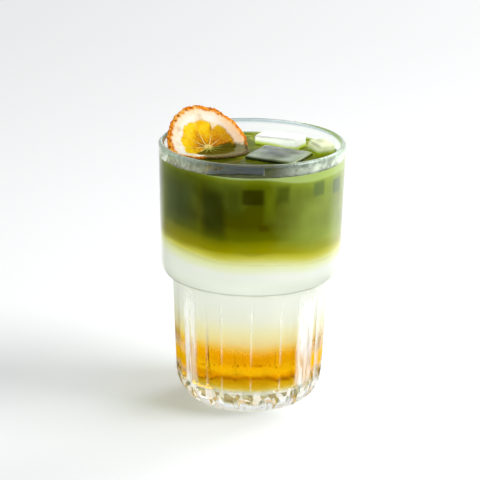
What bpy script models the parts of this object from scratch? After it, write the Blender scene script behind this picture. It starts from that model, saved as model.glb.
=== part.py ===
"""Layered matcha tonic in its glass, with floating ice and a dried orange slice.

The glass is a stacking tumbler: a plain cylinder above, a shoulder, and a narrower
lower body with upright flutes that run down over a rounded heel to a flat foot.
Inside it, from the floor up: orange syrup, pale tonic, matcha. The matcha is cut
round three pieces of ice and the slice, which leans on the wall at the left.

Units are metres, +Z is up, and the origin is the middle of the foot on the table.
"""
import math

import bmesh
import bpy
from mathutils import Matrix, Vector

MM = 0.001

# Glass, outside
GLASS_HEIGHT = 120.6 * MM
FOOT_RADIUS = 19.6 * MM
HEEL_HEIGHT = 14.8 * MM
HEEL_RADIUS = 33.2 * MM
WAIST_RADIUS = 35.35 * MM
STEP_HEIGHT = 60.6 * MM
STEP_RADIUS = 37.2 * MM
STEP_UNDERCUT = 0.7 * MM
SHOULDER_HEIGHT = 67.0 * MM
SHOULDER_RADIUS = 40.3 * MM
RIM_RADIUS = 41.5 * MM
LIP_RADIUS = 1.25 * MM

# Flutes: upright scoops between flat ribs on the lower body
FLUTE_COUNT = 16
FLUTE_DEPTH = 1.0 * MM
RIB_HALF_ANGLE = math.radians(4.5)
FIRST_RIB_ANGLE = math.radians(6.0 - 90.0)
FLUTE_FOOT = 2.0 * MM
FLUTE_FULL = 9.0 * MM
COLUMNS_PER_FLUTE = 5

# Glass, inside
FLOOR_HEIGHT = 10.5 * MM
CORNER_RADIUS = 8.0 * MM
CAVITY_RADIUS_LOW = 30.0 * MM
CAVITY_RADIUS_WAIST = 32.0 * MM
CAVITY_WAIST_HEIGHT = 56.5 * MM
CAVITY_SHOULDER_HEIGHT = 67.5 * MM
CAVITY_RADIUS_SHOULDER = 37.7 * MM

# Drink
GAP = 0.3 * MM
ORANGE_TOP = 31.5 * MM
TONIC_TOP = 79.0 * MM
DRINK_TOP = 113.5 * MM
DRINK_COLUMNS = 48

# Ice: centre on the table plan, turn about Z, length and width, underside and top
ICE_EDGE = 1.4 * MM
ICE = {
    "ice_slab": dict(centre=(11.9, -0.7), turn=-25.0, size=(24.0, 22.0), low=101.0, high=115.2, tilt=1.5),
    "ice_back": dict(centre=(13.0, 20.5), turn=-30.0, size=(22.0, 10.0), low=97.0, high=118.0, tilt=-3.0),
    "ice_right": dict(centre=(30.8, 9.4), turn=-60.0, size=(10.5, 8.5), low=103.0, high=118.2, tilt=4.0),
}

# Dried orange slice: a disc bent along its middle, half on the drink and half leaning back
SLICE_HUB = Vector((-18.4, 10.6, 114.3)) * MM
SLICE_TURN = math.radians(20.0)
SLICE_RADIUS = 19.2 * MM
SLICE_TALLER = 1.3 * MM
SLICE_FLAT_ANGLE = math.radians(-4.0)
SLICE_LEAN_ANGLE = math.radians(60.0)
SLICE_BEND_HALF = 4.5 * MM
SLICE_THICKNESS = 3.0 * MM
SLICE_EDGE_THICKNESS = 2.0 * MM
SLICE_CURL = 1.1 * MM
PULP_SHARE = 0.68
PULP_SINK = 0.7 * MM
SEGMENTS = 10
MEMBRANE_HALF = 0.16
SLICE_COLUMNS = 80
SLICE_CUTTER_COLUMNS = 40
SLICE_CLEARANCE = 0.5 * MM


# ---------------------------------------------------------------- small helpers

def clear_scene():
    """Remove what is in the file, so that the model is all there is."""
    for item in list(bpy.data.objects):
        bpy.data.objects.remove(item, do_unlink=True)
    for block in (bpy.data.meshes, bpy.data.materials, bpy.data.collections):
        for item in list(block):
            block.remove(item)


def blend(value, low, high):
    """Smooth 0 to 1 ramp of value between low and high."""
    share = min(1.0, max(0.0, (value - low) / (high - low)))
    return share * share * (3.0 - 2.0 * share)


def make_material(name, colour, roughness, transmission=0.0, ior=1.45):
    """Principled material with one colour for the whole piece."""
    material = bpy.data.materials.new(name)
    material.use_nodes = True
    shader = material.node_tree.nodes["Principled BSDF"]
    shader.inputs["Base Color"].default_value = (*colour, 1.0)
    shader.inputs["Roughness"].default_value = roughness
    shader.inputs["Metallic"].default_value = 0.0
    shader.inputs["Transmission Weight"].default_value = transmission
    shader.inputs["IOR"].default_value = ior
    material.diffuse_color = (*colour, 1.0)
    return material


def add_object(name, mesh, material, smooth_angle=None):
    """Put a mesh in the scene under its own name and material."""
    item = bpy.data.objects.new(name, mesh)
    bpy.context.scene.collection.objects.link(item)
    mesh.materials.append(material)
    if smooth_angle is not None:
        mesh.shade_smooth()
        mesh.set_sharp_from_angle(angle=math.radians(smooth_angle))
    return item


def quarter_ellipse(start, end, steps, leaves_flat):
    """Points after start up to end, which leave start level (or upright) and turn to end."""
    points = []
    for step in range(1, steps + 1):
        angle = 0.5 * math.pi * step / steps
        rise, run = 1.0 - math.cos(angle), math.sin(angle)
        across, up = (run, rise) if leaves_flat else (rise, run)
        points.append((start[0] + (end[0] - start[0]) * across, start[1] + (end[1] - start[1]) * up))
    return points


def ring_mesh(name, rings, columns, radius_at):
    """Closed mesh of stacked rings, with one point on the axis at each end.

    rings holds (radius, height, flute share); radius_at turns a ring and a column's
    angle into that point's radius.
    """
    bm = bmesh.new()
    first = bm.verts.new((0.0, 0.0, rings[0][1]))
    last = bm.verts.new((0.0, 0.0, rings[-1][1]))
    loops = []
    for ring in rings:
        loop = []
        for column in range(columns):
            angle = FIRST_RIB_ANGLE + 2.0 * math.pi * column / columns
            radius = radius_at(ring, column)
            loop.append(bm.verts.new((radius * math.cos(angle), radius * math.sin(angle), ring[1])))
        loops.append(loop)
    for column in range(columns):
        after = (column + 1) % columns
        bm.faces.new((first, loops[0][after], loops[0][column]))
        bm.faces.new((last, loops[-1][column], loops[-1][after]))
        for lower, upper in zip(loops, loops[1:]):
            bm.faces.new((lower[column], lower[after], upper[after], upper[column]))
    bmesh.ops.triangulate(bm, faces=bm.faces[:])
    bmesh.ops.recalc_face_normals(bm, faces=bm.faces[:])
    mesh = bpy.data.meshes.new(name)
    bm.to_mesh(mesh)
    bm.free()
    return mesh


# ---------------------------------------------------------------- glass

def flute_share(height):
    """How deep the flutes are at this height: none on the foot, full on the body."""
    return blend(height, FLUTE_FOOT, FLUTE_FULL)


def outer_profile():
    """Rings of the outside, from the foot up to the lip: radius, height, flute share."""
    heel = [(FOOT_RADIUS, 0.0)]
    heel += quarter_ellipse(heel[0], (HEEL_RADIUS, HEEL_HEIGHT), 6, leaves_flat=True)
    rings = [(radius, height, flute_share(height)) for radius, height in heel]
    under_step = STEP_HEIGHT + STEP_UNDERCUT
    body_steps = 4
    for step in range(1, body_steps + 1):
        share = step / body_steps
        height = HEEL_HEIGHT + (under_step - HEEL_HEIGHT) * share
        rings.append((HEEL_RADIUS + (WAIST_RADIUS - HEEL_RADIUS) * share, height, 1.0))
    rings.append((WAIST_RADIUS + 0.4 * MM, under_step + 0.2 * MM, 0.0))
    rings.append((STEP_RADIUS - 0.5 * MM, STEP_HEIGHT + 0.1 * MM, 0.0))
    shoulder = quarter_ellipse((STEP_RADIUS, STEP_HEIGHT), (SHOULDER_RADIUS, SHOULDER_HEIGHT), 4, True)
    rings += [(STEP_RADIUS, STEP_HEIGHT, 0.0)]
    rings += [(radius, height, 0.0) for radius, height in shoulder]
    rings.append((RIM_RADIUS, GLASS_HEIGHT - LIP_RADIUS, 0.0))
    return rings


def lip_profile():
    """Half circle over the rim, from the outside to the inside."""
    middle = RIM_RADIUS - LIP_RADIUS
    steps = 6
    rings = []
    for step in range(1, steps):
        angle = math.pi * step / steps
        height = GLASS_HEIGHT - LIP_RADIUS + LIP_RADIUS * math.sin(angle)
        rings.append((middle + LIP_RADIUS * math.cos(angle), height, 0.0))
    return rings


def cavity_profile(gap=0.0):
    """Inside of the glass from the floor's edge up to the rim, drawn in by gap."""
    corner = CORNER_RADIUS - gap
    floor = FLOOR_HEIGHT + gap
    low = CAVITY_RADIUS_LOW - gap
    waist = CAVITY_RADIUS_WAIST - gap
    wide = CAVITY_RADIUS_SHOULDER - gap
    points = [(low - corner, floor)]
    points += quarter_ellipse(points[0], (low, floor + corner), 5, leaves_flat=True)
    points.append((waist, CAVITY_WAIST_HEIGHT))
    steps = 5
    for step in range(1, steps + 1):
        share = step / steps
        height = CAVITY_WAIST_HEIGHT + (CAVITY_SHOULDER_HEIGHT - CAVITY_WAIST_HEIGHT) * share
        points.append((waist + (wide - waist) * blend(share, 0.0, 1.0), height))
    points.append((RIM_RADIUS - 2.0 * LIP_RADIUS - gap, GLASS_HEIGHT - LIP_RADIUS))
    return points


def cavity_radius(height, gap):
    """Radius of the cavity at one height, drawn in by gap."""
    points = cavity_profile(gap)
    for (radius_a, height_a), (radius_b, height_b) in zip(points, points[1:]):
        if height_a <= height <= height_b:
            share = (height - height_a) / (height_b - height_a)
            return radius_a + (radius_b - radius_a) * share
    return points[-1][0]


def glass_radius(ring, column):
    """Radius of an outside ring at one column, lowered in the flutes."""
    radius, _, flute = ring
    pitch = 2.0 * math.pi / FLUTE_COUNT
    from_rib = (column % COLUMNS_PER_FLUTE) * pitch / COLUMNS_PER_FLUTE
    from_flute = abs(from_rib - 0.5 * pitch) / (0.5 * pitch - RIB_HALF_ANGLE)
    scoop = max(0.0, 1.0 - from_flute ** 2)
    return radius - FLUTE_DEPTH * flute * scoop


def build_glass():
    """One turned body of glass with flutes, open at the top."""
    inside = [(radius, height, 0.0) for radius, height in reversed(cavity_profile())]
    rings = outer_profile() + lip_profile() + inside
    mesh = ring_mesh("glass", rings, FLUTE_COUNT * COLUMNS_PER_FLUTE, glass_radius)
    clear = make_material("clear_soda_glass", (0.93, 0.96, 0.95), 0.02, transmission=1.0, ior=1.52)
    return add_object("glass", mesh, clear, smooth_angle=35)


# ---------------------------------------------------------------- drink

def layer_mesh(name, low, high):
    """Turned solid that fills the cavity between two heights."""
    corners = [height for _, height in cavity_profile(GAP) if low < height < high]
    heights = sorted([low, high] + corners)
    rings = [(cavity_radius(height, GAP), height, 0.0) for height in heights]
    return ring_mesh(name, rings, DRINK_COLUMNS, lambda ring, column: ring[0])


def build_layer(name, low, high, colour):
    """One layer of the drink."""
    material = make_material(name + "_liquid", colour, 0.08, ior=1.34)
    return add_object(name, layer_mesh(name, low, high), material, smooth_angle=35)


def build_drink(cutters):
    """Three layers, the top one cut round what floats in it."""
    floor = FLOOR_HEIGHT + GAP
    build_layer("drink_orange", floor, ORANGE_TOP, (0.83, 0.36, 0.01))
    build_layer("drink_tonic", ORANGE_TOP + GAP, TONIC_TOP, (0.80, 0.82, 0.67))
    matcha = build_layer("drink_matcha", TONIC_TOP + GAP, DRINK_TOP, (0.07, 0.10, 0.01))
    cut = matcha.modifiers.new("cut_round_ice_and_slice", "BOOLEAN")
    cut.operation = "DIFFERENCE"
    cut.operand_type = "COLLECTION"
    cut.collection = cutters
    cut.solver = "EXACT"


# ---------------------------------------------------------------- ice

def ice_mesh(name, spec, grow=0.0):
    """Block with worn edges; grow makes it larger all round, for the cutter."""
    length, width = (side * MM + 2.0 * grow for side in spec["size"])
    low = spec["low"] * MM - grow
    high = spec["high"] * MM + grow
    bm = bmesh.new()
    bmesh.ops.create_cube(bm, size=1.0)
    bmesh.ops.scale(bm, vec=(length, width, high - low), verts=bm.verts[:])
    bmesh.ops.bevel(bm, geom=bm.edges[:], offset=ICE_EDGE + grow, segments=3, profile=0.5, affect="EDGES")
    place = Matrix.Translation(Vector((spec["centre"][0] * MM, spec["centre"][1] * MM, 0.5 * (low + high))))
    turn = Matrix.Rotation(math.radians(spec["turn"]), 4, "Z")
    tilt = Matrix.Rotation(math.radians(spec["tilt"]), 4, "Y")
    bmesh.ops.transform(bm, matrix=place @ turn @ tilt, verts=bm.verts[:])
    bmesh.ops.triangulate(bm, faces=bm.faces[:])
    mesh = bpy.data.meshes.new(name)
    bm.to_mesh(mesh)
    bm.free()
    return mesh


def build_ice():
    """Three pieces of clear ice that float at the surface."""
    frozen = make_material("clear_ice", (0.80, 0.86, 0.84), 0.05, transmission=0.9, ior=1.31)
    for name, spec in ICE.items():
        add_object(name, ice_mesh(name, spec), frozen, smooth_angle=35)


# ---------------------------------------------------------------- orange slice

def bend_point(across, along, lift):
    """Place a point of the flat disc on the bent slice.

    across runs to the right, along runs up the disc and lift stands off its face.
    """
    turn = SLICE_LEAN_ANGLE - SLICE_FLAT_ANGLE
    bend_radius = 2.0 * SLICE_BEND_HALF / turn
    middle = 0.5 * (SLICE_LEAN_ANGLE + SLICE_FLAT_ANGLE)
    inside = max(-SLICE_BEND_HALF, min(SLICE_BEND_HALF, along))
    angle = middle + inside / bend_radius
    beyond = along - inside
    back = bend_radius * (math.sin(angle) - math.sin(middle)) + beyond * math.cos(angle)
    up = bend_radius * (math.cos(middle) - math.cos(angle)) + beyond * math.sin(angle)
    back -= lift * math.sin(angle)
    up += lift * math.cos(angle)
    right = Vector((math.cos(SLICE_TURN), math.sin(SLICE_TURN), 0.0))
    away = Vector((-math.sin(SLICE_TURN), math.cos(SLICE_TURN), 0.0))
    return SLICE_HUB + right * across + away * back + Vector((0.0, 0.0, up))


def slice_outline(angle):
    """Radius of the rind at one angle: uneven, and taller than it is wide."""
    uneven = 0.30 * math.sin(3.0 * angle + 0.6) + 0.22 * math.sin(7.0 * angle + 2.0)
    crisp = 0.12 * math.sin(19.0 * angle) + 0.08 * math.sin(31.0 * angle + 1.0)
    return SLICE_RADIUS + SLICE_TALLER * math.sin(angle) + (uneven + crisp) * MM


def slice_relief(share, angle):
    """Height of the face above the middle plane, at a share of the radius."""
    edge = blend(share, 0.90, 1.0)
    half = 0.5 * (SLICE_THICKNESS * (1.0 - edge) + SLICE_EDGE_THICKNESS * edge)
    pitch = 2.0 * math.pi / SEGMENTS
    from_membrane = abs((angle / pitch) % 1.0 - 0.5)
    flesh = blend(0.5 - from_membrane, 0.0, MEMBRANE_HALF)
    in_pulp = blend(share, 0.10, 0.25) * (1.0 - blend(share, PULP_SHARE - 0.05, PULP_SHARE + 0.03))
    return half - PULP_SINK * flesh * in_pulp


def slice_curl(share, angle):
    """How far the dried rim curls towards the upper face."""
    return SLICE_CURL * share ** 3 * (0.6 + 0.4 * math.sin(2.0 * angle + 0.8))


def slice_mesh(name, columns, shares, extra, relief):
    """Closed disc with two faces, from rings at the given shares of the radius."""
    bm = bmesh.new()
    faces = []
    for side in (1.0, -1.0):
        loops = []
        for share in shares:
            loop = []
            for column in range(columns):
                angle = 2.0 * math.pi * column / columns
                radius = (slice_outline(angle) + extra) * share
                half = relief(share, angle) + extra
                lift = side * half + slice_curl(share, angle)
                loop.append(bm.verts.new(
                    bend_point(radius * math.cos(angle), radius * math.sin(angle), lift)))
            loops.append(loop)
        hub = bm.verts.new(bend_point(0.0, 0.0, side * (relief(0.0, 0.0) + extra)))
        faces.append((hub, loops))
    (top_hub, top), (low_hub, low) = faces
    for column in range(columns):
        after = (column + 1) % columns
        bm.faces.new((top_hub, top[0][column], top[0][after]))
        bm.faces.new((low_hub, low[0][after], low[0][column]))
        for near, far in zip(top, top[1:]):
            bm.faces.new((near[column], far[column], far[after], near[after]))
        for near, far in zip(low, low[1:]):
            bm.faces.new((near[after], far[after], far[column], near[column]))
        bm.faces.new((top[-1][column], low[-1][column], low[-1][after], top[-1][after]))
    bmesh.ops.triangulate(bm, faces=bm.faces[:])
    bmesh.ops.recalc_face_normals(bm, faces=bm.faces[:])
    mesh = bpy.data.meshes.new(name)
    bm.to_mesh(mesh)
    bm.free()
    return mesh


def build_slice():
    """Dried wheel of orange with its rind, pith and sunken segments in one piece."""
    dried = make_material("dried_orange", (0.85, 0.42, 0.06), 0.55)
    shares = (0.12, 0.30, 0.50, PULP_SHARE - 0.04, PULP_SHARE + 0.03, 0.90, 1.0)
    mesh = slice_mesh("orange_slice", SLICE_COLUMNS, shares, 0.0, slice_relief)
    return add_object("orange_slice", mesh, dried, smooth_angle=50)


# ---------------------------------------------------------------- cutters

def build_cutters():
    """Slightly larger copies of the ice and the slice, which shape the matcha."""
    cutters = bpy.data.collections.new("cutters")
    bpy.context.scene.collection.children.link(cutters)
    meshes = [ice_mesh("cut_" + name, spec, grow=GAP) for name, spec in ICE.items()]
    shares = (0.15, 0.32, 0.50, 0.75, 1.0)
    meshes.append(slice_mesh("cut_slice", SLICE_CUTTER_COLUMNS, shares, SLICE_CLEARANCE,
                             lambda share, angle: 0.5 * SLICE_THICKNESS))
    for mesh in meshes:
        cutter = bpy.data.objects.new(mesh.name, mesh)
        cutters.objects.link(cutter)
        cutter.hide_render = True
        cutter.display_type = "WIRE"
    return cutters


def main():
    clear_scene()
    build_glass()
    build_drink(build_cutters())
    build_ice()
    build_slice()


main()
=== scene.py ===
"""Looks of the layered matcha tonic: glass, drink, ice and the dried orange slice.

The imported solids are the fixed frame. Each visible piece is modelled again over its
solid with finer form and a finish of its own, in metres, +Z up, foot on the table.
"""
import functools
import math
import random

import bmesh
import bpy
from mathutils import Matrix, Vector, noise


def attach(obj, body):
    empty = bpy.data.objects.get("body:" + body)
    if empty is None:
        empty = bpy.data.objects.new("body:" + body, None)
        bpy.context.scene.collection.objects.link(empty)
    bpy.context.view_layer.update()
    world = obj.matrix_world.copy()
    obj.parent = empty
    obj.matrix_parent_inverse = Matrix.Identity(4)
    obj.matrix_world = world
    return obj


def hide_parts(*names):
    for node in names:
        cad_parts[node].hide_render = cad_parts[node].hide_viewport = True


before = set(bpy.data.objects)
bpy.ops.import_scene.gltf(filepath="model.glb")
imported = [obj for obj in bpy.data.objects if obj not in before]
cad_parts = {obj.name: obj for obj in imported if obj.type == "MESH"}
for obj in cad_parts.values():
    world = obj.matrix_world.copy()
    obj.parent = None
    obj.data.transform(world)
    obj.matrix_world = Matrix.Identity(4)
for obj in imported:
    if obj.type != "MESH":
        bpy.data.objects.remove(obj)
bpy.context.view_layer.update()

MM = 0.001

# Settings of nodes that are used again and again
SMOOTH = {"interpolation_type": "SMOOTHSTEP"}
BLEND = {"data_type": "RGBA"}
PLUS, MINUS, TIMES, DIVIDED, TIMES_PLUS, LARGER, UNSIGNED, FRACTION, ANGLE_OF = (
    {"operation": name} for name in (
        "ADD", "SUBTRACT", "MULTIPLY", "DIVIDE", "MULTIPLY_ADD", "MAXIMUM", "ABSOLUTE", "FRACT", "ARCTAN2"))

# Glass, outside
GLASS_HEIGHT = 120.6 * MM
FOOT_RADIUS = 19.6 * MM
HEEL_HEIGHT = 14.8 * MM
HEEL_RADIUS = 33.2 * MM
WAIST_RADIUS = 35.35 * MM
STEP_HEIGHT = 60.6 * MM
STEP_RADIUS = 37.2 * MM
STEP_UNDERCUT = 0.7 * MM
SHOULDER_HEIGHT = 67.0 * MM
SHOULDER_RADIUS = 40.3 * MM
RIM_RADIUS = 41.48 * MM
LIP_RADIUS = 1.25 * MM
# Half height of the painted shade line under the step
STEP_SHADE_HALF = 1.4 * MM
FOOT_ZONE = 20.0 * MM
# Cells of painted sparkle in each flute of the foot
SPARKLE_CELLS_PER_FLUTE = 5.0

# Flutes: upright scoops between flat ribs on the lower body
FLUTE_COUNT = 16
FLUTE_DEPTH = 1.0 * MM
RIB_HALF_ANGLE = math.radians(4.5)
FIRST_RIB_ANGLE = math.radians(6.0 - 90.0)
FLUTE_FOOT = 0.4 * MM
FLUTE_FULL = 4.0 * MM
COLUMNS_PER_FLUTE = 26

# Glass, inside
FLOOR_HEIGHT = 10.5 * MM
CORNER_RADIUS = 8.0 * MM
CAVITY_RADIUS_LOW = 30.0 * MM
CAVITY_RADIUS_WAIST = 32.0 * MM
CAVITY_WAIST_HEIGHT = 56.5 * MM
CAVITY_SHOULDER_HEIGHT = 67.5 * MM
CAVITY_RADIUS_SHOULDER = 37.7 * MM
CAVITY_TAPER = (RIM_RADIUS - 2.0 * LIP_RADIUS - CAVITY_RADIUS_SHOULDER) / (
    GLASS_HEIGHT - LIP_RADIUS - CAVITY_SHOULDER_HEIGHT)
INTO_WALL = 0.12 * MM
OFF_WALL = 0.15 * MM
SKIN_DEPTH = 0.3 * MM

# Drink: heights at which the layers fade
ORANGE_TOP = 31.3 * MM
ORANGE_WAVE = 1.1 * MM
UNDERSIDE_HEIGHT = 80.0 * MM
DRINK_TOP = 113.5 * MM
MENISCUS_RISE = 1.0 * MM
MENISCUS_REACH = 2.2 * MM
MENISCUS_STEPS = 14
DRINK_COLUMNS = 192
ABOVE_WALLS = 95.0 * MM
UNDERSIDE_COLUMNS = 96
UNDERSIDE_LEVELS = 14
UNDERSIDE_THICKNESS = 2.0 * MM
UNDERSIDE_WAVE = 1.6 * MM
FADE_SLOPE = 3.2 * MM

# Ice: centre seen from above, turn about Z, size, underside, top and tilt, in mm and degrees
ICE_EDGE = 1.4 * MM
HOLLOW_SHRINK = 0.15 * MM
ICE = {
    "ice_slab": dict(centre=(11.9, -0.7), turn=-25.0, size=(24.0, 22.0), low=101.0, high=115.2, tilt=1.5),
    "ice_back": dict(centre=(13.0, 20.5), turn=-30.0, size=(22.0, 10.0), low=97.0, high=118.0, tilt=-3.0),
    "ice_right": dict(centre=(30.8, 9.4), turn=-60.0, size=(10.5, 8.5), low=103.0, high=118.2, tilt=4.0),
    "ice_awash": dict(centre=(-7.0, -24.0), turn=0.0, size=(26.0, 16.0), low=99.0, high=113.8, tilt=0.0),
}

# Painted shade where ice sunk against the wall shows as dark squares: turn from the front, half width
# (degrees), middle height, half height (mm), softness and tone
SUNKEN_ICE_PAINTED_SHADE = [
    (1.2, 7.2, 106.0, 3.4, 0.25, "#1c1800"),
    (11.6, 3.0, 102.5, 6.0, 0.9, "#5a640c"),
    (20.0, 4.0, 107.0, 3.6, 0.5, "#343c04"),
    (-11.5, 4.6, 104.0, 6.5, 0.7, "#343a06"),
    (8.0, 3.0, 92.0, 1.3, 0.4, "#3c3400"),
    (-24.5, 7.5, 98.2, 10.8, 0.45, "#1c2202"),
    (-54.0, 13.0, 99.5, 9.0, 0.6, "#34401c"),
    (47.0, 4.8, 107.0, 3.2, 0.3, "#4c5c30"),
    (67.0, 5.5, 105.5, 3.2, 0.3, "#48583c"),
]
SUNKEN_ICE_PAINTED_SHADE_SHOWS = 0.72

# What the glass and the liquids do to light: typical indices of refraction and faint tints
GLASS_IOR = 1.5
DRINK_IOR = 1.34
ICE_IOR = 1.31
GLASS_TINT = "#fcfefd"
FILM_COLOUR = "#f0fae8"

# Dried orange slice: a disc bent along its middle
SLICE_HUB = Vector((-18.4, 10.6, 114.3)) * MM
SLICE_TURN = math.radians(20.0)
SLICE_RADIUS = 19.2 * MM
SLICE_TALLER = 1.3 * MM
SLICE_FLAT_ANGLE = math.radians(-4.0)
SLICE_LEAN_ANGLE = math.radians(60.0)
SLICE_BEND_HALF = 4.5 * MM
SLICE_THICKNESS = 3.0 * MM
SLICE_EDGE_THICKNESS = 2.0 * MM
SLICE_CURL = 1.1 * MM
SLICE_EYE = Vector((-1.9, -1.4)) * MM
PULP_SHARE = 0.66
PULP_SINK = 0.45 * MM
SEGMENTS = 11
MEMBRANE_HALF = 0.22 * MM
SOAKED_FROM = math.radians(-150.0)
SOAKED_TO = math.radians(17.0)
SOAKED_PITH_FROM = math.radians(-122.0)
SOAKED_PITH_TO = math.radians(2.0)
SOAKED_HALF_THICKNESS = 0.35 * MM
# Where the rind bulges (share of the radius) or is drawn in: height, centre and width in degrees
RIND_BULGES = [(-0.105, 43.0, 32.0), (0.055, 122.0, 22.0), (0.022, 68.0, 3.0), (0.050, 158.0, 18.0),
    (-0.100, -12.0, 26.0), (-0.085, 67.0, 26.0), (0.018, 104.0, 14.0), (-0.045, 22.0, 26.0),
    (0.030, 188.0, 20.0)]
SLICE_COLUMNS = 360
SLICE_RINGS = 48
SACS_ROUND = 46.0
SACS_ACROSS = 9.0


# ---------------- camera, light and table

# Camera, world and black cloth: metres, degrees or radians, and strengths
CAMERA_DISTANCE = 0.900
CAMERA_ELEVATION = math.radians(18.61)
CAMERA_ROLL = math.radians(0.86)
CAMERA_LENS = 149.4
CAMERA_SHIFT = (-0.0217, 0.0620)
WORLD_FRONT = 0.28
WORLD_BACK = 0.90
FLAG_INNER = 45.0 * MM
FLAG_OUTER = 1.5
FLAG_LEFT_ANGLE = -150.0
FLAG_RIGHT_ANGLE = 120.0
FLAG_COLUMNS = 33
FLAG_LIFT = 1.0 * MM

# Lit sheet behind, in metres: its corners across and up, and how far back it stands
SHEET_CORNERS = [(-1.6, 0.45), (1.6, 0.45), (1.6, 2.0), (-1.6, 2.0)]
SHEET_BEHIND = 2.4

# Lights: name, place, aim, size, power, colour, and the rays that pass them by
LIGHTS = [
    ("key_right", (0.58, -0.11, 0.56), (0.0, 0.0, 0.05), (0.42, 0.42), 5.1, "#ffffff", ()),
    ("light_gathered_by_the_foot", (0.0, 0.0, 0.009), (0.0, 0.0, 0.0), (0.036, 0.036), 0.004, "#f4f8ff",
        ("camera", "glossy", "transmission")),
    ("far_right", (1.3, 1.5, 1.4), (0.4, 1.2, 0.0), (1.0, 1.0), 20.6, "#ffffff", ()),
    ("light_caught_by_the_ice", (0.017, 0.035, 0.126), (0.013, 0.020, 0.114), (0.020, 0.006), 0.0065,
        "#ffffff", ("camera", "glossy", "transmission")),
    ("low_fill_left", (-0.62, -0.95, 0.11), (0.0, 0.0, 0.05), (0.35, 0.20), 6.0, "#ffffff",
        ("glossy", "transmission")),
    ("low_fill_right", (0.50, -0.42, 0.14), (0.0, 0.0, 0.075), (0.25, 0.25), 0.8, "#ffffff",
        ("glossy", "transmission")),
]


def hex_colour(text):
    """sRGB hex to the linear colour that shaders use."""
    parts = [int(text[i:i + 2], 16) / 255.0 for i in (1, 3, 5)]
    return tuple(p / 12.92 if p <= 0.04045 else ((p + 0.055) / 1.055) ** 2.4 for p in parts) + (1.0,)


def add_node(tree, kind, settings=None, *ordered, **inputs):
    """Add a node, give it its settings, then set or link its inputs.

    A setting whose key is a number is a colour stop at that place. Inputs come in their order,
    by name or by number (i6), and a pair of numbers sets an input's Min and its Max.
    """
    node = tree.nodes.new("ShaderNode" + kind)
    settings = settings or {}
    stops = [(place, colour) for place, colour in settings.items() if not isinstance(place, str)]
    for _ in stops[2:]:
        node.color_ramp.elements.new(0.5)
    for index, (place, colour) in enumerate(stops):
        node.color_ramp.elements[index].position = place
        node.color_ramp.elements[index].color = hex_colour(colour)
    for name, value in settings.items():
        if isinstance(name, str):
            setattr(node, name, value)
    inputs.update({"i%d" % index: value for index, value in enumerate(ordered)})
    for name, value in inputs.items():
        if isinstance(value, tuple) and len(value) == 2:
            node.inputs[name + " Min"].default_value, node.inputs[name + " Max"].default_value = value
            continue
        socket = node.inputs[int(name[1:]) if name[1:].isdigit() else name.replace("_", " ")]
        if isinstance(value, bpy.types.Node):
            value = next(output for output in value.outputs if output.enabled)
        if isinstance(value, bpy.types.NodeSocket):
            tree.links.new(value, socket)
        else:
            socket.default_value = hex_colour(value) if isinstance(value, str) else value
    return node


def new_material(name):
    """Empty node material, and add_node for its tree."""
    material = bpy.data.materials.new(name)
    material.use_nodes = True
    material.node_tree.nodes.clear()
    return material, functools.partial(add_node, material.node_tree)


def mm(*lengths):
    """Lengths in millimetres as metres."""
    return tuple(length * MM for length in lengths)


def scale_for(millimetres):
    """Texture scale that draws a pattern at this real size."""
    return 1.0 / (millimetres * MM)


def let_light_through(add, surface, tint, **more):
    """Let lamp light and soft bounced light pass straight through, tinted, as clear glass does."""
    path = add("LightPath")
    soft = add("Math", LARGER, path.outputs["Is Shadow Ray"], path.outputs["Is Diffuse Ray"])
    passing = add("BsdfTransparent", Color=tint)
    add("OutputMaterial", Surface=add("MixShader", Fac=soft, i1=surface, i2=passing), **more)


def mesh_from(bm, name):
    """Mesh with outward faces from a bmesh, which is freed."""
    bmesh.ops.recalc_face_normals(bm, faces=bm.faces[:])
    mesh = bpy.data.meshes.new(name)
    bm.to_mesh(mesh)
    bm.free()
    return mesh


def add_object(name, data):
    """Put a new object for a mesh, lamp or camera in the scene."""
    item = bpy.data.objects.new(name, data)
    bpy.context.scene.collection.objects.link(item)
    return item


def hide_from(item, *rays):
    """Make a lamp or a sheet unseen by some kinds of rays."""
    for ray in rays:
        setattr(item, "visible_" + ray, False)


def make_camera():
    """Camera with a long lens, a little above the rim, at the front."""
    data = bpy.data.cameras.new("camera")
    data.lens = CAMERA_LENS
    data.sensor_width = 36.0
    data.shift_x, data.shift_y = CAMERA_SHIFT
    data.clip_start = 0.01
    data.clip_end = 50.0
    camera = add_object("camera", data)
    middle = Vector((0.0, 0.0, 0.5 * GLASS_HEIGHT))
    away = Vector((0.0, -math.cos(CAMERA_ELEVATION), math.sin(CAMERA_ELEVATION)))
    tip = Matrix.Rotation(0.5 * math.pi - CAMERA_ELEVATION, 4, "X")
    roll = Matrix.Rotation(CAMERA_ROLL, 4, "Z")
    camera.matrix_world = Matrix.Translation(middle + away * CAMERA_DISTANCE) @ tip @ roll
    bpy.context.scene.camera = camera


def add_area_light(name, place, aim, size, power, colour, unmet):
    """Soft rectangular light at a place, turned to a point; the rays in unmet pass it by."""
    data = bpy.data.lights.new(name, "AREA")
    data.shape = "RECTANGLE"
    data.size, data.size_y = size
    data.energy = power
    data.color = hex_colour(colour)[:3]
    light = add_object(name, data)
    light.location = place
    light.rotation_mode = "QUATERNION"
    light.rotation_quaternion = (Vector(aim) - Vector(place)).to_track_quat("-Z", "Y")
    hide_from(light, *unmet)


def make_world():
    """Studio surroundings: dark in front, pale at the sides, bright behind."""
    world = bpy.data.worlds.new("studio")
    bpy.context.scene.world = world
    world.use_nodes = True
    world.node_tree.nodes.clear()
    add = functools.partial(add_node, world.node_tree)
    _, y, _ = add("SeparateXYZ", Vector=add("TexCoord").outputs["Generated"]).outputs
    strength = add("MapRange", SMOOTH, Value=y, From=(-0.75, 0.85), To=(WORLD_FRONT, WORLD_BACK))
    add("OutputWorld", Surface=add("Background", Color="#f8fafb", Strength=strength))


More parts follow.
